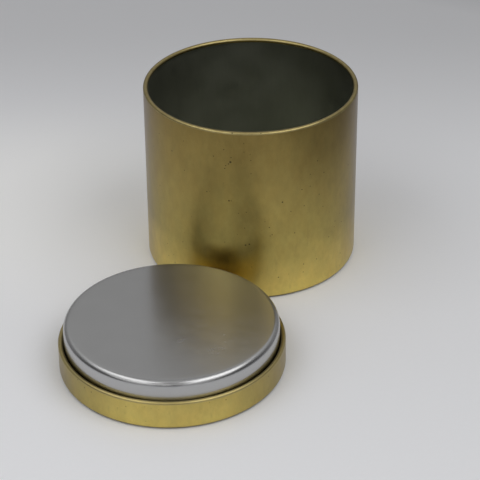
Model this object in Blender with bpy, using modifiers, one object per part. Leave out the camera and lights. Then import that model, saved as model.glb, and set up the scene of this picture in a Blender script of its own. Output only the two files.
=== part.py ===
"""Round tinplate cookie tin with a push-in lid, as three separate pressed pieces.

can_body  drawn cup with a flat base and a mouth curled inward
lid_cap   shallow drawn cap with the same wall and curl as the can
lid_plug  stepped cup locked inside the cap, whose narrow end pushes into the can's mouth

The can stands on its base with its axis on the world Z axis. The lid lies beside it, face
down. Units are metres, +Z up.
"""
import math

import bpy
from mathutils import Vector

# Driving dimensions
TIN_RADIUS = 0.0500          # outside of the wall and of the curl, which lie flush
CAN_HEIGHT = 0.0874          # table to the top of the curl
CAP_HEIGHT = 0.0137          # lid panel to the top of its curl
LID_HEIGHT = 0.0222          # lid panel to the end of the plug
SHEET = 0.00025              # tinplate thickness
CURL_RADIUS = 0.00110        # outside radius of the rolled edge
CORNER_RADIUS = 0.0020       # outside radius between wall and base
PLUG_CLEARANCE = 0.00040     # radial play of the plug in the can's mouth
PLUG_EDGE_RADIUS = 0.0028    # rounded lead-in edge of the plug
PIECE_GAP = 0.0003           # gap between two pieces that touch
LID_CENTRE = Vector((-0.0358, -0.0992, 0.0))
TURNED_LID_CLEARANCE = 0.0016  # plug end above the mouth when the lid is turned over

# Pressed stiffening ring in the can's base
RING_RADIUS = 0.0400
RING_WIDTH = 0.0040
RING_HEIGHT = 0.0006

# Fineness of the turned shapes
TURN_STEPS = 72
CURL_START = 0.0             # degrees, the curl's widest point, where it leaves the wall
CURL_END = 270.0             # degrees, the tucked-in edge
CURL_SEGMENTS = 12
CORNER_SEGMENTS = 4
PLUG_EDGE_SEGMENTS = 6
RING_SEGMENTS = 4
MERGE_DISTANCE = 0.00005

# Sizes that follow from the ones above
MOUTH_RADIUS = TIN_RADIUS - 2 * CURL_RADIUS
PLUG_RADIUS = MOUTH_RADIUS - PLUG_CLEARANCE
STEP_HEIGHT = CAP_HEIGHT - 2 * CURL_RADIUS - PIECE_GAP
LIP_RADIUS = TIN_RADIUS - SHEET - PIECE_GAP
LIP_BOTTOM = CORNER_RADIUS

# The lid turns over about a level line half way between the two axes
TURN_AXIS_HEIGHT = (CAN_HEIGHT + LID_HEIGHT + TURNED_LID_CLEARANCE) / 2
TURN_AXIS_POINT = LID_CENTRE / 2 + Vector((0.0, 0.0, TURN_AXIS_HEIGHT))

GOLD_LACQUER = {"name": "gold_lacquer", "color": (0.60, 0.48, 0.14), "roughness": 0.32}
BARE_TINPLATE = {"name": "bare_tinplate", "color": (0.55, 0.55, 0.54), "roughness": 0.28}


def clear_scene():
    for obj in list(bpy.data.objects):
        bpy.data.objects.remove(obj, do_unlink=True)


def make_collection(name):
    collection = bpy.data.collections.new(name)
    bpy.context.scene.collection.children.link(collection)
    return collection


def metal(spec):
    """A plain metallic material in the colour of one finish."""
    material = bpy.data.materials.new(spec["name"])
    material.use_nodes = True
    shader = material.node_tree.nodes["Principled BSDF"]
    shader.inputs["Base Color"].default_value = (*spec["color"], 1.0)
    shader.inputs["Metallic"].default_value = 1.0
    shader.inputs["Roughness"].default_value = spec["roughness"]
    material.diffuse_color = (*spec["color"], 1.0)
    return material


def arc(centre, radius, start, end, segments):
    """Points (r, z) on an arc, with angles in degrees from +r towards +z."""
    points = []
    for index in range(segments + 1):
        angle = math.radians(start + (end - start) * index / segments)
        points.append((centre[0] + radius * math.cos(angle), centre[1] + radius * math.sin(angle)))
    return points


def pressed_ring():
    """Outer side of the stiffening ring, from its outer foot to its inner foot."""
    points = []
    for index in range(RING_SEGMENTS + 1):
        share = index / RING_SEGMENTS
        rise = RING_HEIGHT * (1 - math.cos(2 * math.pi * share)) / 2
        points.append((RING_RADIUS + RING_WIDTH * (0.5 - share), rise))
    return points


def drawn_cup(height, ringed_base):
    """Outer side of a drawn cup with an inward curl, from the tucked edge to the axis."""
    curl_centre = (TIN_RADIUS - CURL_RADIUS, height - CURL_RADIUS)
    points = arc(curl_centre, CURL_RADIUS, CURL_END, CURL_START, CURL_SEGMENTS)
    corner_centre = (TIN_RADIUS - CORNER_RADIUS, CORNER_RADIUS)
    points += arc(corner_centre, CORNER_RADIUS, 0.0, -90.0, CORNER_SEGMENTS)
    if ringed_base:
        points += pressed_ring()
    points.append((0.0, 0.0))
    return points


def stepped_cup():
    """Outer side of the plug: end face, wall, step under the cap's curl, and lip."""
    edge_centre = (PLUG_RADIUS - PLUG_EDGE_RADIUS, LID_HEIGHT - PLUG_EDGE_RADIUS)
    points = [(0.0, LID_HEIGHT)]
    points += arc(edge_centre, PLUG_EDGE_RADIUS, 90.0, 0.0, PLUG_EDGE_SEGMENTS)
    points.append((PLUG_RADIUS, STEP_HEIGHT))
    points.append((LIP_RADIUS, STEP_HEIGHT))
    points.append((LIP_RADIUS, LIP_BOTTOM))
    return points


def turned_shell(name, profile, material, collection):
    """Turn an open profile about the Z axis and thicken it inward into sheet metal."""
    mesh = bpy.data.meshes.new(name)
    vertices = [(radius, 0.0, height) for radius, height in profile]
    edges = [(index, index + 1) for index in range(len(profile) - 1)]
    mesh.from_pydata(vertices, edges, [])
    mesh.materials.append(material)
    shell = bpy.data.objects.new(name, mesh)
    collection.objects.link(shell)

    screw = shell.modifiers.new("Turn", "SCREW")
    screw.axis = "Z"
    screw.angle = 2 * math.pi
    screw.steps = TURN_STEPS
    screw.render_steps = TURN_STEPS
    screw.use_merge_vertices = True
    screw.merge_threshold = MERGE_DISTANCE
    screw.use_smooth_shade = True

    solidify = shell.modifiers.new("Sheet", "SOLIDIFY")
    solidify.thickness = SHEET
    solidify.offset = -1.0
    solidify.use_even_offset = True
    solidify.use_rim = True
    return shell


def add_can(collection, gold):
    return turned_shell("can_body", drawn_cup(CAN_HEIGHT, ringed_base=True), gold, collection)


def add_lid(collection, gold, bare):
    """The two lid pieces hang from an empty on the line that the lid turns about."""
    turn_axis = bpy.data.objects.new("lid_turn_axis", None)
    turn_axis.location = TURN_AXIS_POINT
    collection.objects.link(turn_axis)
    cap = turned_shell("lid_cap", drawn_cup(CAP_HEIGHT, ringed_base=False), gold, collection)
    plug = turned_shell("lid_plug", stepped_cup(), bare, collection)
    for piece in (cap, plug):
        piece.parent = turn_axis
        piece.location = LID_CENTRE - TURN_AXIS_POINT


def main():
    clear_scene()
    collection = make_collection("cookie_tin")
    gold = metal(GOLD_LACQUER)
    bare = metal(BARE_TINPLATE)
    add_can(collection, gold)
    add_lid(collection, gold, bare)


main()
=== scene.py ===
"""Looks of the round cookie tin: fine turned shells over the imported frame, with materials,
light and camera.

The can stands on its axis at the origin. The lid lies face down beside it. Lengths are metres.
"""
import math

import bpy
from mathutils import Matrix, Vector


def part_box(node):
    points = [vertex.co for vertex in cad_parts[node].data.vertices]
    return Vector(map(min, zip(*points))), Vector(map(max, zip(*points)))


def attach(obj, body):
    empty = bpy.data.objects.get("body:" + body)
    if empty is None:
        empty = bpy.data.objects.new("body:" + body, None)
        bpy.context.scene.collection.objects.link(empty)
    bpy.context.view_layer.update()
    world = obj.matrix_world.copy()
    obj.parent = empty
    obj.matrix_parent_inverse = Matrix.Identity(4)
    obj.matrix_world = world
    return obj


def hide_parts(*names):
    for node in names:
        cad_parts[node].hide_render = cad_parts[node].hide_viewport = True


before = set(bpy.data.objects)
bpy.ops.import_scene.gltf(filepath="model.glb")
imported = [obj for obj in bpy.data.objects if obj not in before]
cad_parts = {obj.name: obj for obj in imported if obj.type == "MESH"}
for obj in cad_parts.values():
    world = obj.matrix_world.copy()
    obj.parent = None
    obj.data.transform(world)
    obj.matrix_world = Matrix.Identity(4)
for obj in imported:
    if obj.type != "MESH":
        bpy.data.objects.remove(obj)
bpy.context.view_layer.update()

MM = 0.001

# Sheet metal
SHEET = 0.25 * MM            # tinplate thickness
CURL = 1.10 * MM             # outside radius of the rolled edge
CURL_END = 270.0             # degrees round the roll, the tucked-in edge
CORNER = 2.00 * MM           # outside radius between wall and base
PLUG_EDGE = 2.80 * MM        # rounded lead-in edge of the plug
STEP_CORNER = 0.50 * MM      # radius at the plug's step
PIECE_GAP = 0.30 * MM        # gap between the plug's step and the cap's roll
PLUG_CLEARANCE = 0.40 * MM   # radial play of the plug in the can's mouth

# Pressed stiffening ring in the can's base
RING_RADIUS = 40.0 * MM
RING_WIDTH = 4.0 * MM
RING_HEIGHT = 0.6 * MM

# Fineness of the turned shells
TURN_STEPS = 320
WALL_STEP = 2.5 * MM
ARC_STEP = 6.0               # degrees
STEP_CORNER_STEP = 15.0      # degrees
RING_SEGMENTS = 16
ON_AXIS = 1e-9               # a radius below this is a point on the axis

# A point counts as on the roll within this share of the roll's radius from its centre, and
# this share of it below the top
ROLL_REACH = 1.03
ROLL_DEPTH = 0.95

# Sizes and places taken from the frame
can_low, can_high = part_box("can_body")
cap_low, cap_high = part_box("lid_cap")
plug_low, plug_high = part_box("lid_plug")
CAN_AXIS = Vector(((can_low.x + can_high.x) / 2, (can_low.y + can_high.y) / 2, 0.0))
LID_AXIS = Vector(((cap_low.x + cap_high.x) / 2, (cap_low.y + cap_high.y) / 2, 0.0))
TIN_RADIUS = (can_high.x - can_low.x) / 2
CAN_HEIGHT = can_high.z
CAP_HEIGHT = cap_high.z
LID_HEIGHT = plug_high.z
LIP_RADIUS = (plug_high.x - plug_low.x) / 2
LIP_BOTTOM = plug_low.z
PLUG_RADIUS = TIN_RADIUS - 2 * CURL - PLUG_CLEARANCE
STEP_HEIGHT = CAP_HEIGHT - 2 * CURL - PIECE_GAP


# ---------------------------------------------------------------- profiles

def arc(centre, radius, start, end, step=ARC_STEP):
    """Points (r, z) on an arc, with angles in degrees from +r towards +z."""
    count = max(2, round(abs(end - start) / step))
    points = []
    for index in range(count + 1):
        angle = math.radians(start + (end - start) * index / count)
        points.append((centre[0] + radius * math.cos(angle), centre[1] + radius * math.sin(angle)))
    return points


def run(start, end, step):
    """Points between two ends of a straight stretch, without the ends."""
    length = math.dist(start, end)
    count = max(1, round(length / step))
    return [
        (start[0] + (end[0] - start[0]) * i / count, start[1] + (end[1] - start[1]) * i / count)
        for i in range(1, count)
    ]


def joined(*stretches):
    """One line through several stretches, with straight runs of points between them."""
    line = list(stretches[0])
    for stretch in stretches[1:]:
        line += run(line[-1], stretch[0], WALL_STEP)
        line += stretch
    return line


def rolled_cup(height, base):
    """Outer side of a drawn cup, from the tucked-in edge over the roll and down to the axis."""
    return joined(
        arc((TIN_RADIUS - CURL, height - CURL), CURL, CURL_END, 0.0),
        arc((TIN_RADIUS - CORNER, CORNER), CORNER, 0.0, -90.0),
        base,
        [(0.0, 0.0)],
    )


def ringed_base():
    """The pressed stiffening ring in the can's base, from its outer foot to its inner foot."""
    points = []
    for index in range(RING_SEGMENTS + 1):
        share = index / RING_SEGMENTS
        rise = RING_HEIGHT * (1 - math.cos(2 * math.pi * share)) / 2
        points.append((RING_RADIUS + RING_WIDTH * (0.5 - share), rise))
    return points


def plain_panel():
    """A point half way across the lid's flat panel."""
    return [(TIN_RADIUS / 2, 0.0)]


def stepped_cup():
    """Outer side of the plug: end face, rounded edge, wall, step under the cap's roll, and lip."""
    edge = (PLUG_RADIUS - PLUG_EDGE, LID_HEIGHT - PLUG_EDGE)
    inner = (PLUG_RADIUS + STEP_CORNER, STEP_HEIGHT + STEP_CORNER)
    outer = (LIP_RADIUS - STEP_CORNER, STEP_HEIGHT - STEP_CORNER)
    return joined(
        [(0.0, LID_HEIGHT)],
        arc(edge, PLUG_EDGE, 90.0, 0.0),
        arc(inner, STEP_CORNER, 180.0, 270.0, STEP_CORNER_STEP),
        arc(outer, STEP_CORNER, 90.0, 0.0, STEP_CORNER_STEP),
        [(LIP_RADIUS, LIP_BOTTOM)],
    )


def inside_line(line):
    """The line one sheet thickness to the right of the way an outer line runs."""
    points = []
    last = len(line) - 1
    for index, (radius, height) in enumerate(line):
        before = line[max(index - 1, 0)]
        after = line[min(index + 1, last)]
        way = Vector((after[0] - before[0], after[1] - before[1])).normalized()
        points.append((radius + SHEET * way.y, height - SHEET * way.x))
    for end in (0, -1):
        if line[end][0] < ON_AXIS:
            points[end] = (0.0, points[end][1])
    return points


# ---------------------------------------------------------------- turned shells

def turned_points(section):
    """The vertices of a turned section, and the ring of vertex numbers at each of its points."""
    verts, rings = [], []
    for radius, height in section:
        first = len(verts)
        if radius < ON_AXIS:
            verts.append((0.0, 0.0, height))
        else:
            for step in range(TURN_STEPS):
                angle = 2 * math.pi * step / TURN_STEPS
                verts.append((radius * math.cos(angle), radius * math.sin(angle), height))
        rings.append(range(first, len(verts)))
    return verts, rings


def turned_faces(rings):
    """Faces from each ring to the next, and the number of the ring that each starts from."""
    faces, starts = [], []
    for index, here in enumerate(rings):
        there = rings[(index + 1) % len(rings)]
        if len(here) == 1 and len(there) == 1:
            continue
        for step in range(TURN_STEPS):
            after = (step + 1) % TURN_STEPS
            corners = (
                here[step % len(here)],
                there[step % len(there)],
                there[after % len(there)],
                here[after % len(here)],
            )
            faces.append(list(dict.fromkeys(corners)))
            starts.append(index)
    return faces, starts


def on_roll(vert, cup_height):
    """1 on the roll of a cup of this height, 0 on its wall."""
    radius = math.hypot(vert[0], vert[1])
    away = math.hypot(radius - (TIN_RADIUS - CURL), vert[2] - (cup_height - CURL))
    near = away < CURL * ROLL_REACH
    above_wall = vert[2] > cup_height - CURL * ROLL_DEPTH
    return 1.0 if near and above_wall else 0.0


def turned_shell(name, outer, material, lining=None, roll_height=None):
    """A closed sheet-metal shell turned about its own Z axis, with a lining on its inner side."""
    section = outer + list(reversed(inside_line(outer)))
    verts, rings = turned_points(section)
    faces, starts = turned_faces(rings)
    mesh = bpy.data.meshes.new(name)
    mesh.from_pydata(verts, [], faces)
    mesh.materials.append(material)
    if lining is not None:
        mesh.materials.append(lining)
        slots = [1 if start >= len(outer) else 0 for start in starts]
        mesh.polygons.foreach_set("material_index", slots)
    mesh.polygons.foreach_set("use_smooth", [True] * len(faces))
    mesh.update()
    if roll_height is not None:
        values = [on_roll(vert, roll_height) for vert in verts]
        mesh.attributes.new("rolled_edge", "FLOAT", "POINT").data.foreach_set("value", values)
    shell = bpy.data.objects.new(name, mesh)
    bpy.context.scene.collection.objects.link(shell)
    return shell


# ---------------------------------------------------------------- nodes

RISING = (0.0, 1.0)
FALLING = (1.0, 0.0)
NOISE = (0.3, 0.7)           # nearly all of a noise lies between these
SPECK_CORE = 0.6             # share of a speck's radius that is fully dark
DOT_EDGE = (0.5, 1.1)        # where a round mark fades out, in shares of its radius


def fill_ramp(node, stops):
    """Sets the stops of a colour ramp, given as (place, colour)."""
    elements = node.color_ramp.elements
    elements.remove(elements[1])
    elements[0].position = stops[0][0]
    elements[0].color = (*stops[0][1], 1.0)
    for place, colour in stops[1:]:
        elements.new(place).color = (*colour, 1.0)


class Nodes:
    """Short names for building one material's nodes."""

    def __init__(self, name):
        self.material = bpy.data.materials.new(name)
        self.material.use_nodes = True
        self.tree = self.material.node_tree
        self.shader = self.tree.nodes["Principled BSDF"]
        self.place = self.add("ShaderNodeTexCoord").outputs["Object"]

    def add(self, kind, **settings):
        node = self.tree.nodes.new(kind)
        for key, value in settings.items():
            setattr(node, key, value)
        return node

    def link(self, source, target):
        self.tree.links.new(source, target)

    def put(self, value, target):
        """A link from a socket, or a plain value."""
        if isinstance(value, bpy.types.NodeSocket):
            self.link(value, target)
        else:
            target.default_value = value

    def feed(self, **values):
        """Sockets or constants into the shader's inputs, whose spaces are written as _."""
        for name, value in values.items():
            self.put(value, self.shader.inputs[name.replace("_", " ")])

    def carried(self, direction):
        """A direction in the piece's own frame, turned with the piece."""
        node = self.add("ShaderNodeVectorTransform", vector_type="VECTOR")
        node.convert_from = "OBJECT"
        node.convert_to = "WORLD"
        node.inputs["Vector"].default_value = direction
        return node.outputs["Vector"]

    def along(self, axis):
        """Where a point lies along X, Y or Z of the piece's own frame, in metres."""
        split = self.add("ShaderNodeSeparateXYZ")
        self.link(self.place, split.inputs[0])
        return split.outputs[axis]

    def away_from(self, centre):
        """How far a point lies from a place in the piece's own frame, in metres."""
        node = self.add("ShaderNodeVectorMath", operation="DISTANCE")
        self.link(self.place, node.inputs[0])
        node.inputs[1].default_value = centre
        return node.outputs["Value"]

    def attribute(self, name):
        return self.add("ShaderNodeAttribute", attribute_name=name).outputs["Fac"]

    def noise(self, grain, detail=3.0, stretch=(1, 1, 1), roughness=0.5):
        """Noise from 0 to 1 with features about one grain across, in metres.

        A stretch below 1 draws the features out along that axis.
        """
        squeezed = self.add("ShaderNodeVectorMath", operation="MULTIPLY")
        self.link(self.place, squeezed.inputs[0])
        squeezed.inputs[1].default_value = stretch
        node = self.add("ShaderNodeTexNoise")
        self.link(squeezed.outputs["Vector"], node.inputs["Vector"])
        node.inputs["Scale"].default_value = 1 / grain
        node.inputs["Detail"].default_value = detail
        node.inputs["Roughness"].default_value = roughness
        return node.outputs["Fac"]

    def spread(self, value, source, result, smooth=True):
        """Maps the range source to the range result, and holds the ends."""
        node = self.add("ShaderNodeMapRange")
        node.interpolation_type = "SMOOTHSTEP" if smooth else "LINEAR"
        self.link(value, node.inputs["Value"])
        names = ("From Min", "From Max", "To Min", "To Max")
        for name, number in zip(names, (*source, *result)):
            self.put(number, node.inputs[name])
        return node.outputs["Result"]

    def math(self, operation, first, second):
        node = self.add("ShaderNodeMath", operation=operation)
        self.put(first, node.inputs[0])
        self.put(second, node.inputs[1])
        return node.outputs[0]

    def mix(self, share, first, second, blend="MIX"):
        node = self.add("ShaderNodeMix", data_type="RGBA", blend_type=blend)
        self.put(share, node.inputs["Factor"])
        for value, name in ((first, "A"), (second, "B")):
            socket = [i for i in node.inputs if i.name == name and i.type == "RGBA"][0]
            self.put((*value, 1.0) if isinstance(value, tuple) else value, socket)
        return [o for o in node.outputs if o.type == "RGBA"][0]

    def shaded(self, colour, factor):
        """A colour multiplied by a factor."""
        grey = self.add("ShaderNodeCombineColor")
        for socket in grey.inputs[:3]:
            self.link(factor, socket)
        return self.mix(1.0, colour, grey.outputs[0], "MULTIPLY")

    def ramp(self, value, stops):
        """A colour for each value, blended between stops of (value, colour)."""
        node = self.add("ShaderNodeValToRGB")
        self.link(value, node.inputs["Fac"])
        fill_ramp(node, stops)
        return node.outputs["Color"]

    def specks(self, spacing, smallest, largest):
        """1 in scattered round specks, 0 elsewhere. Radii in metres."""
        cells = self.add("ShaderNodeTexVoronoi")
        self.link(self.place, cells.inputs["Vector"])
        cells.inputs["Scale"].default_value = 1 / spacing
        split = self.add("ShaderNodeSeparateColor")
        self.link(cells.outputs["Color"], split.inputs[0])
        mostly_small = self.math("POWER", split.outputs[0], 2.0)
        radii = (smallest / spacing, largest / spacing)
        radius = self.spread(mostly_small, RISING, radii, smooth=False)
        core = self.math("MULTIPLY", radius, SPECK_CORE)
        return self.spread(cells.outputs["Distance"], (core, radius), FALLING)

    def dot(self, centre, radius):
        """1 in one round mark with a soft edge, 0 elsewhere."""
        edge = (radius * DOT_EDGE[0], radius * DOT_EDGE[1])
        return self.spread(self.away_from(centre), edge, FALLING)

    def bump(self, height, distance, onto=None):
        node = self.add("ShaderNodeBump")
        node.inputs["Strength"].default_value = 1.0
        node.inputs["Distance"].default_value = distance
        self.link(height, node.inputs["Height"])
        if onto is not None:
            self.link(onto, node.inputs["Normal"])
        return node.outputs["Normal"]


# ---------------------------------------------------------------- gold lacquer

# Colour by share of the can's height: gold with painted shade, bright near the table, deeper and
# browner at the mouth
LACQUER_AND_PAINTED_SHADE = [
    (0.0, (0.74, 0.600, 0.170)),
    (0.12, (0.66, 0.520, 0.150)),
    (0.35, (0.404, 0.321, 0.092)),
    (0.65, (0.343, 0.262, 0.077)),
    (1.0, (0.262, 0.190, 0.054)),
]
LACQUER_WANDER = (-0.05, 0.05)   # how far those heights sway round the tin
WORN_GOLD = (0.47, 0.385, 0.165)
SPECK = (0.05, 0.036, 0.016)
WARM_STAIN = (1.03, 0.96, 0.88)
EDGE_TINT = (0.72, 0.72, 0.80, 1.0)
# Colour of dirt streaks, and of painted shade on the cap's sides and at the foot of a wall
DIRT_AND_PAINTED_SHADE = (0.12, 0.10, 0.05)

# How far clouds, stains and grain darken or brighten it
CLOUD_SHADE = (0.945, 1.04)
STAIN_SHADE = (0.94, 1.045)
GRAIN_SHADE = (0.985, 1.015)
GRAIN_NOISE = (0.25, 0.75)
# Warm stains, dirt and wear on the roll: the stretch of noise they grow over, and their shares
WARM_NOISE = (0.35, 0.65)
WARM_SHARE = (0.0, 0.35)
DIRT_NOISE = (0.60, 0.74)
DIRT_SHARE = (0.0, 0.13)
WEAR_NOISE = (0.3, 0.65)
WEAR_SHARE = (0.65, 1.0)

# Painted shade on the lowest part of a wall, where it meets the table
FOOT_HEIGHTS = (0.2 * MM, 1.5 * MM)
FOOT_PAINTED_SHADE = (0.7, 0.0)
# Painted shade on the cap's left and right sides, by the distance to its left or right
SIDE_SHADE_REACH = (14 * MM, 46 * MM)
SIDE_PAINTED_SHADE = (0.09, 0.45)

LACQUER_ROUGHNESS = (0.30, 0.34)
SPECK_ROUGHNESS = 0.25
ROLL_ROUGHNESS = 0.03

# Larger specks on the can's wall: degrees from the front to the right, height and radius (mm)
CAN_MARKS = [
    (-11.0, 72.5, 0.60), (-12.0, 71.5, 0.35), (-13.5, 70.5, 0.30), (-14.0, 69.0, 0.32),
    (-12.0, 52.5, 0.48), (16.0, 51.0, 0.45), (-3.5, 29.5, 0.50), (-1.5, 30.0, 0.45),
    (-20.0, 74.5, 0.30), (27.0, 55.5, 0.35), (32.0, 56.0, 0.30), (38.0, 50.0, 0.30),
    (-24.0, 55.5, 0.34), (-3.0, 47.0, 0.28), (9.0, 38.5, 0.32), (10.5, 34.5, 0.32),
    (23.0, 33.5, 0.34), (-40.0, 24.5, 0.30), (37.0, 15.5, 0.32), (14.0, 11.0, 0.36),
]
# Painted reflections on the can's wall, as paler patches: degrees, height and radius (mm), gain
CAN_PAINTED_REFLECTIONS = [(-1.0, 46.0, 20.0, 1.10)]
# Nicks on the can's rolled edge: degrees from the front to the right, radius (mm)
RIM_MARKS = [(-10.0, 0.42), (4.7, 0.34)]
RIM_MARK_LEAN = 45.0         # degrees up the outer side of the roll
MARK_SHARE = 0.85            # how far a speck or mark covers the lacquer


def on_wall(azimuth, height):
    """A place on the can's wall."""
    angle = math.radians(azimuth)
    return (TIN_RADIUS * math.sin(angle), -TIN_RADIUS * math.cos(angle), height)


def on_rim(azimuth):
    """A place on the outer side of the can's rolled edge."""
    angle = math.radians(azimuth)
    lean = math.radians(RIM_MARK_LEAN)
    reach = TIN_RADIUS - CURL * (1 - math.cos(lean))
    height = CAN_HEIGHT - CURL * (1 - math.sin(lean))
    return (reach * math.sin(angle), -reach * math.cos(angle), height)


def lacquer_colour_and_painted_light(n, clouds, stains, painted_reflections):
    """Gold by height, darker towards the mouth as painted shade, with painted reflections,
    clouded, stained and slightly dirty.
    """
    share = n.math("DIVIDE", n.along("Z"), CAN_HEIGHT)
    wander = n.spread(n.noise(24 * MM, detail=2.0), NOISE, LACQUER_WANDER)
    # Painted shade: the ramp by height makes the gold darker towards the mouth
    tone = n.ramp(n.math("ADD", share, wander), LACQUER_AND_PAINTED_SHADE)
    # Painted reflections: paler patches on the wall that stand in for what it mirrors
    for azimuth, height, radius, gain in painted_reflections:
        painted_reflection = n.dot(on_wall(azimuth, height * MM), radius * MM)
        tone = n.shaded(tone, n.spread(painted_reflection, RISING, (1.0, gain)))

    cloud_shade = n.spread(clouds, NOISE, CLOUD_SHADE)
    stain_shade = n.spread(stains, NOISE, STAIN_SHADE)
    grain_shade = n.spread(n.noise(0.5 * MM, detail=2.0), GRAIN_NOISE, GRAIN_SHADE)
    shade = n.math("MULTIPLY", n.math("MULTIPLY", cloud_shade, stain_shade), grain_shade)
    colour = n.shaded(tone, shade)

    warm = n.spread(n.noise(5 * MM, stretch=(1, 1, 0.5)), WARM_NOISE, WARM_SHARE)
    colour = n.mix(warm, colour, n.mix(1.0, colour, WARM_STAIN, "MULTIPLY"))
    streaks = n.noise(2.6 * MM, detail=4.0, stretch=(1, 1, 0.22), roughness=0.6)
    return n.mix(n.spread(streaks, DIRT_NOISE, DIRT_SHARE), colour, DIRT_AND_PAINTED_SHADE)


def lacquer_marks(n, wall_marks, rim_marks):
    """Scattered small specks, and the larger marks where they belong."""
    dark = n.specks(spacing=3.0 * MM, smallest=0.04 * MM, largest=0.38 * MM)
    for azimuth, height, radius in wall_marks:
        dark = n.math("MAXIMUM", dark, n.dot(on_wall(azimuth, height * MM), radius * MM))
    for azimuth, radius in rim_marks:
        dark = n.math("MAXIMUM", dark, n.dot(on_rim(azimuth), radius * MM))
    return n.math("MULTIPLY", dark, MARK_SHARE)


def gold_lacquer(name, wall_marks=(), rim_marks=(), painted_reflections=(), side_shade=None):
    n = Nodes(name)
    clouds = n.noise(7 * MM, detail=4.0, stretch=(1, 1, 0.6), roughness=0.6)
    stains = n.noise(3.0 * MM, detail=5.0, stretch=(1, 1, 0.55), roughness=0.65)
    colour = lacquer_colour_and_painted_light(n, clouds, stains, painted_reflections)
    # Painted shade: the cap darker towards its left and right sides
    if side_shade is not None:
        aside = n.math("ABSOLUTE", n.along("X"), 0.0)
        colour = n.mix(n.spread(aside, SIDE_SHADE_REACH, side_shade), colour, DIRT_AND_PAINTED_SHADE)
    # Painted shade at the foot of the wall, where it meets the table
    colour = n.mix(n.spread(n.along("Z"), FOOT_HEIGHTS, FOOT_PAINTED_SHADE), colour, DIRT_AND_PAINTED_SHADE)

    roll = n.attribute("rolled_edge")
    wear = n.spread(n.noise(2.2 * MM), WEAR_NOISE, WEAR_SHARE)
    colour = n.mix(n.math("MULTIPLY", roll, wear), colour, WORN_GOLD)
    dark = lacquer_marks(n, wall_marks, rim_marks)

    rough = n.spread(clouds, NOISE, LACQUER_ROUGHNESS)
    rough = n.math("ADD", rough, n.math("MULTIPLY", dark, SPECK_ROUGHNESS))
    rough = n.math("ADD", rough, n.math("MULTIPLY", roll, ROLL_ROUGHNESS))
    relief = n.bump(n.noise(16 * MM, detail=2.0), distance=0.05 * MM)
    relief = n.bump(stains, distance=0.004 * MM, onto=relief)
    relief = n.bump(n.noise(0.6 * MM, detail=2.0), distance=0.0015 * MM, onto=relief)
    relief = n.bump(dark, distance=-0.03 * MM, onto=relief)
    n.feed(Base_Color=n.mix(dark, colour, SPECK), Roughness=rough, Normal=relief, Metallic=1.0)
    n.feed(Specular_Tint=EDGE_TINT, Coat_Weight=0.25, Coat_Roughness=0.30, Coat_IOR=1.5)
    return n.material


# ---------------------------------------------------------------- bare tinplate

TINPLATE = (0.50, 0.50, 0.50)
SCUFFED_TINPLATE = (0.60, 0.59, 0.56)
BRIGHT_DOT = (0.80, 0.80, 0.78)
ROLLING_SHADE = (0.994, 1.006)
TINPLATE_CLOUD_SHADE = (0.985, 1.015)
TINPLATE_ROUGHNESS = (0.235, 0.255)
SCUFF_ROUGHNESS = 0.025
# Across the rolling, and leaning up so that it never stands square to the plug's wall
ACROSS_ROLLING = (0.0, 1.0, 0.35)

# The patch of the plug's end that has been rubbed
RUBBED_PLACE = (18 * MM, -12 * MM, LID_HEIGHT)
RUBBED_RADIUS = 26 * MM
HAZE_NOISE = (0.40, 0.62)
HAZE_SHARE = 0.35
SCUFF_NOISE = (0.46, 0.64)
SCUFF_SHARE = 0.20

# The plug's end is a little less of a mirror than its edge and wall
END_HEIGHTS = (LID_HEIGHT - 1.5 * MM, LID_HEIGHT - 0.2 * MM)
END_METALLIC = (1.0, 0.96)

# Dents in the plug's edge that show dark, and bright dots on its end: x, y and radius (mm)
PLUG_NICKS = [(-23.8, 39.4, 0.42), (-22.4, 40.2, 0.50), (-21.0, 40.9, 0.42)]
PLUG_NICK_HEIGHT = LID_HEIGHT - 0.3 * MM
PLUG_DOTS = [(-14.2, 27.0, 0.30), (-30.5, 13.4, 0.26), (-9.5, -12.0, 0.20)]
NICK_SHARE = 0.9
DOT_SHARE = 0.45

# The can's inside is duller, and painted shade makes it darker to the right and near the mouth
LINING = (0.44, 0.45, 0.383)
LINING_PAINTED_SIDE_SHADE = (1.25, 0.78)
LINING_HEIGHTS = (CAN_HEIGHT * 0.6, CAN_HEIGHT)
LINING_PAINTED_MOUTH_SHADE = (1.0, 0.74)
LINING_STREAK_SHADE = (0.985, 1.015)
LINING_CLOUD_SHADE = (0.97, 1.03)
LINING_ROUGHNESS = (0.37, 0.43)


def plug_marks(n, colour):
    """Bright dots on the plug's end and dark nicks in its edge."""
    bright = n.specks(spacing=11.0 * MM, smallest=0.03 * MM, largest=0.15 * MM)
    for x, y, radius in PLUG_DOTS:
        bright = n.math("MAXIMUM", bright, n.dot((x * MM, y * MM, LID_HEIGHT), radius * MM))
    colour = n.mix(n.math("MULTIPLY", bright, DOT_SHARE), colour, BRIGHT_DOT)
    dark = 0.0
    for x, y, radius in PLUG_NICKS:
        dark = n.math("MAXIMUM", dark, n.dot((x * MM, y * MM, PLUG_NICK_HEIGHT), radius * MM))
    return n.mix(n.math("MULTIPLY", dark, NICK_SHARE), colour, SPECK)


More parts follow.
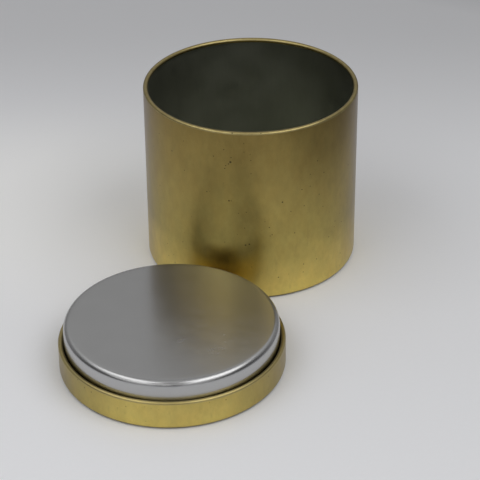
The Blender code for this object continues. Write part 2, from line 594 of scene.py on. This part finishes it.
def bare_tinplate():
    """Rolled tinplate, brushed one way, with a hazy rubbed patch."""
    n = Nodes("bare_tinplate_finish")
    rolling = n.noise(0.5 * MM, stretch=(0.04, 1, 1), roughness=0.6)
    clouds = n.noise(12 * MM)
    ripples = n.noise(2.4 * MM, stretch=(0.45, 1, 1), roughness=0.55)
    mottle = n.noise(5.0 * MM, detail=4.0, stretch=(0.7, 1, 1), roughness=0.6)
    scratches = n.noise(3.6 * MM, detail=4.0, stretch=(0.5, 1, 1), roughness=0.65)
    rubbed = n.dot(RUBBED_PLACE, RUBBED_RADIUS)
    haze = n.math("MULTIPLY", n.spread(mottle, HAZE_NOISE, RISING), rubbed)
    scuffs = n.math("MULTIPLY", n.spread(scratches, SCUFF_NOISE, RISING), rubbed)

    rolling_shade = n.spread(rolling, NOISE, ROLLING_SHADE)
    cloud_shade = n.spread(clouds, NOISE, TINPLATE_CLOUD_SHADE)
    colour = n.shaded(TINPLATE, n.math("MULTIPLY", rolling_shade, cloud_shade))
    colour = n.mix(n.math("MULTIPLY", haze, HAZE_SHARE), colour, SCUFFED_TINPLATE)
    colour = n.mix(n.math("MULTIPLY", scuffs, SCUFF_SHARE), colour, SCUFFED_TINPLATE)

    rough = n.spread(clouds, NOISE, TINPLATE_ROUGHNESS)
    rough = n.math("ADD", rough, n.math("MULTIPLY", scuffs, SCUFF_ROUGHNESS))
    relief = n.bump(rolling, distance=0.0004 * MM)
    relief = n.bump(n.math("MULTIPLY", ripples, rubbed), distance=0.014 * MM, onto=relief)
    relief = n.bump(clouds, distance=0.012 * MM, onto=relief)
    metallic = n.spread(n.along("Z"), END_HEIGHTS, END_METALLIC)
    n.feed(Base_Color=plug_marks(n, colour), Roughness=rough, Normal=relief, Metallic=metallic)
    n.feed(Anisotropic=0.80, Tangent=n.carried(ACROSS_ROLLING))
    return n.material


def lining_tinplate():
    n = Nodes("inside_tinplate_and_painted_shade")
    streaks = n.noise(1.2 * MM, stretch=(1, 1, 0.12))
    clouds = n.noise(14 * MM)
    streak_shade = n.spread(streaks, NOISE, LINING_STREAK_SHADE)
    cloud_shade = n.spread(clouds, NOISE, LINING_CLOUD_SHADE)
    # Painted shade: the lining darker to the right and near the mouth
    across = n.spread(n.along("X"), (-TIN_RADIUS, TIN_RADIUS), LINING_PAINTED_SIDE_SHADE)
    upward = n.spread(n.along("Z"), LINING_HEIGHTS, LINING_PAINTED_MOUTH_SHADE)
    shade = n.math("MULTIPLY", streak_shade, cloud_shade)
    shade = n.math("MULTIPLY", n.math("MULTIPLY", shade, across), upward)
    relief = n.bump(streaks, distance=0.0006 * MM)
    rough = n.spread(clouds, NOISE, LINING_ROUGHNESS)
    n.feed(Base_Color=n.shaded(LINING, shade), Roughness=rough, Normal=relief, Metallic=1.0)
    return n.material


# ---------------------------------------------------------------- the tin

# Both lacquers carry painted shade by height; the can's adds painted reflections, the cap's
# painted shade on its sides
can_gold = gold_lacquer("can_lacquer_and_painted_light", CAN_MARKS, RIM_MARKS, CAN_PAINTED_REFLECTIONS)
cap_gold = gold_lacquer("cap_lacquer_and_painted_shade", side_shade=SIDE_PAINTED_SHADE)
tin = bare_tinplate()
lining = lining_tinplate()

can_line = rolled_cup(CAN_HEIGHT, ringed_base())
can = turned_shell("can_shell", can_line, can_gold, lining, CAN_HEIGHT)
can.location = CAN_AXIS
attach(can, "can")
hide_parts("can_body")

cap_line = rolled_cup(CAP_HEIGHT, plain_panel())
cap = turned_shell("lid_cap_shell", cap_line, cap_gold, lining, CAP_HEIGHT)
cap.location = LID_AXIS
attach(cap, "lid")
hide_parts("lid_cap")

plug = turned_shell("lid_plug_shell", stepped_cup(), tin)
plug.location = LID_AXIS
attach(plug, "lid")
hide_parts("lid_plug")


# ---------------------------------------------------------------- paper

FLOOR_HALF = 4.0
FLOOR_DROP = 0.02 * MM       # keeps the paper from sharing a plane with the tin's base

NEAR_PAPER = (0.905, 0.91, 0.935)
LIT_PAPER = (1.0, 1.0, 1.0)
FAR_PAPER = (0.36, 0.36, 0.37)
PAPER_GRAIN = (0.996, 1.004)

# A painted pool of light round the tin: the paper falls off into painted shade away from it, to
# the right and to the back
POOL_PLACE = (-0.04, -0.02, 0.0)
POOL_EDGE = (0.21, 0.52)
RIGHT_EDGE = (0.115, 0.18)
RIGHT_SLANT = 0.15           # how far the right edge moves right per metre to the back
RIGHT_FADE = 0.9
BACK_EDGE = (0.06, 0.26)
BACK_FADE = 0.37
# A painted patch of light makes it brightest to the left of the can
LIT_PLACE = (-0.10, 0.045, 0.0)
LIT_EDGE = (0.03, 0.13)
# and painted shade makes it a little darker from left to right
SLOPE_ENDS = (-0.14, 0.12)
SLOPE_SHADE = (1.02, 0.955)


def paper():
    """Pale paper, bright in a painted pool of light round the tin and darker far out with painted
    shade.
    """
    n = Nodes("pale_paper")
    pool = n.spread(n.away_from(POOL_PLACE), POOL_EDGE, RISING)
    slant = n.math("MULTIPLY", n.along("Y"), RIGHT_SLANT)
    right = n.spread(n.math("SUBTRACT", n.along("X"), slant), RIGHT_EDGE, (0.0, RIGHT_FADE))
    back = n.spread(n.along("Y"), BACK_EDGE, (0.0, BACK_FADE))
    fade = n.math("MAXIMUM", n.math("MAXIMUM", pool, right), back)
    lit = n.spread(n.away_from(LIT_PLACE), LIT_EDGE, FALLING)
    tone = n.mix(fade, n.mix(lit, NEAR_PAPER, LIT_PAPER), FAR_PAPER)
    grain = n.spread(n.noise(1.5 * MM), NOISE, PAPER_GRAIN)
    slope = n.spread(n.along("X"), SLOPE_ENDS, SLOPE_SHADE, smooth=False)
    colour = n.shaded(tone, n.math("MULTIPLY", grain, slope))
    n.feed(Base_Color=colour, Roughness=0.9, Specular_IOR_Level=0.2)
    return n.material


def add_floor():
    mesh = bpy.data.meshes.new("floor")
    sides = ((-1, -1), (1, -1), (1, 1), (-1, 1))
    corners = [(x * FLOOR_HALF, y * FLOOR_HALF, 0.0) for x, y in sides]
    mesh.from_pydata(corners, [], [(0, 1, 2, 3)])
    mesh.materials.append(paper())
    floor = bpy.data.objects.new("floor", mesh)
    floor.location.z = -FLOOR_DROP
    bpy.context.scene.collection.objects.link(floor)


# ---------------------------------------------------------------- light and camera

STAGE_CENTRE = Vector((-0.02, -0.06, 0.0))   # where the softboxes face
SOFTBOX_DISTANCE = 1.0

# Azimuth in degrees from the camera's side to the right, elevation above the floor, how wide
# and how tall it looks from the tin in degrees, and the radiance that a mirror shows of it
SOFTBOXES = {
    "left_high": (-64, 60, (50, 23), 1.32),
    "left_middle": (-58, 44, (56, 14), 0.5),
    "right_high": (60, 60, (46, 23), 1.62),
    "right_middle": (50, 45, (46, 14), 1.2),
    "right_low": (38, 31, (40, 13), 0.5),
    "front_high": (0, 58, (20, 14), 0.2),
    "front_low": (-33, 31, (52, 13), 0.95),
    "front_centre": (6, 31, (22, 13), 0.6),
    "front_left_low": (-30, 13, (28, 16), 0.30),
    "front_right_low": (24, 13, (28, 16), 0.35),
}

# World radiance by the sine of the elevation, behind the tin and on the camera's side
BEHIND = [
    (0.0, 0.27), (0.45, 0.29), (0.62, 0.51), (0.78, 0.51), (0.88, 0.20), (0.94, 0.30), (1.0, 0.50),
]
IN_FRONT = [
    (0.0, 0.45), (0.06, 0.26), (0.16, 0.07), (0.42, 0.08),
    (0.54, 0.22), (0.70, 0.18), (0.88, 0.30), (1.0, 0.50),
]
FRONT_TO_BEHIND = (0.05, 0.60)   # the direction's Y over which one blends into the other

CAMERA_PLACE = (-0.00557, -0.75343, 0.46190)
CAMERA_DOWN = 31.41          # degrees below level
CAMERA_ROLL = -0.523         # degrees
SENSOR_WIDTH = 36.0
LENS = 135.29


def softbox(name, azimuth, elevation, spread, radiance):
    """An area light that faces the tin, hidden from the camera."""
    light = bpy.data.lights.new(name, "AREA")
    light.shape = "RECTANGLE"
    width, height = (2 * SOFTBOX_DISTANCE * math.tan(math.radians(angle / 2)) for angle in spread)
    light.size = width
    light.size_y = height
    light.energy = radiance * math.pi * width * height
    box = bpy.data.objects.new(name, light)
    turn = math.radians(azimuth)
    rise = math.radians(elevation)
    level = Vector((math.sin(turn), -math.cos(turn), 0.0)) * math.cos(rise)
    way = (level + Vector((0.0, 0.0, math.sin(rise)))) * SOFTBOX_DISTANCE
    box.location = STAGE_CENTRE + way
    box.rotation_euler = (-way).to_track_quat("-Z", "Y").to_euler()
    box.visible_camera = False
    bpy.context.scene.collection.objects.link(box)


def add_world():
    """A pale backdrop behind the tin, a dim room on the camera's side, and light overhead."""
    world = bpy.data.worlds.new("studio")
    bpy.context.scene.world = world
    world.use_nodes = True
    tree = world.node_tree
    coords = tree.nodes.new("ShaderNodeTexCoord")
    split = tree.nodes.new("ShaderNodeSeparateXYZ")
    tree.links.new(coords.outputs["Generated"], split.inputs[0])
    side = tree.nodes.new("ShaderNodeMapRange")
    side.inputs["From Min"].default_value = FRONT_TO_BEHIND[0]
    side.inputs["From Max"].default_value = FRONT_TO_BEHIND[1]
    tree.links.new(split.outputs["Y"], side.inputs["Value"])
    both = tree.nodes.new("ShaderNodeMix")
    both.data_type = "RGBA"
    tree.links.new(side.outputs["Result"], both.inputs["Factor"])
    colours = [socket for socket in both.inputs if socket.type == "RGBA"]
    for levels, socket in ((IN_FRONT, colours[0]), (BEHIND, colours[1])):
        ramp = tree.nodes.new("ShaderNodeValToRGB")
        tree.links.new(split.outputs["Z"], ramp.inputs["Fac"])
        fill_ramp(ramp, [(place, (level, level, level)) for place, level in levels])
        tree.links.new(ramp.outputs["Color"], socket)
    mixed = [socket for socket in both.outputs if socket.type == "RGBA"][0]
    background = tree.nodes["Background"]
    tree.links.new(mixed, background.inputs["Color"])
    background.inputs["Strength"].default_value = 1.0


def add_camera():
    data = bpy.data.cameras.new("camera")
    data.sensor_width = SENSOR_WIDTH
    data.lens = LENS
    camera = bpy.data.objects.new("camera", data)
    tilt = Matrix.Rotation(math.radians(90.0 - CAMERA_DOWN), 4, "X")
    roll = Matrix.Rotation(math.radians(CAMERA_ROLL), 4, "Z")
    camera.matrix_world = Matrix.Translation(CAMERA_PLACE) @ tilt @ roll
    bpy.context.scene.collection.objects.link(camera)
    bpy.context.scene.camera = camera


add_floor()
add_world()
for name, settings in SOFTBOXES.items():
    softbox(name, *settings)
add_camera()
bpy.context.scene.view_settings.view_transform = "Standard"
